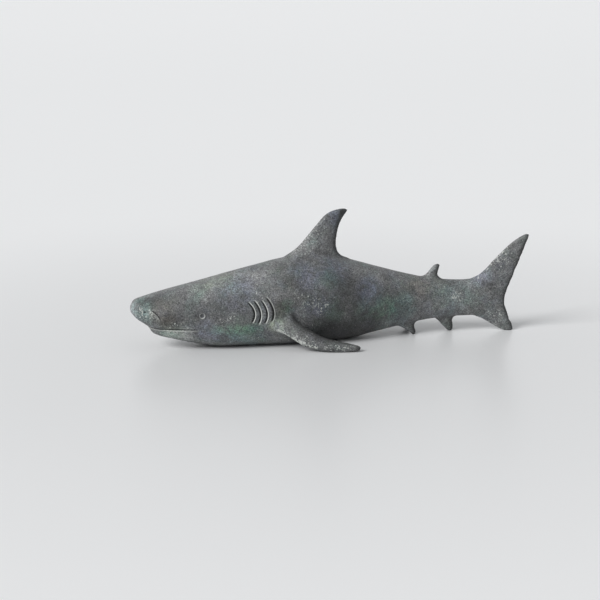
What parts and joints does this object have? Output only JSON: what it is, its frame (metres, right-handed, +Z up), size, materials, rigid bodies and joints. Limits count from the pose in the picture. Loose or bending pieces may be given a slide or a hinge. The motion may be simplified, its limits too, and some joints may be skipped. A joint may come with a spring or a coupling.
{
  "type": "shark figurine",
  "caption": "Shark figurine cast in one piece, lying on its flat belly with swept fins, carved gill slits, eyes and mouth, and a mottled verdigris finish.",
  "frame": {"origin": "middle of the footprint box, on the surface the figurine lies on", "axes": "+X from snout to tail, -Y towards the shark's own left side, which the picture shows, +Z up"},
  "size_m": [0.4936, 0.1565, 0.1595],
  "materials": {
    "patina": "satin dark grey with green, violet and pale verdigris mottling"
  },
  "bodies": {
    "root": {"shark_figurine": "patina"}
  },
  "joints": []
}
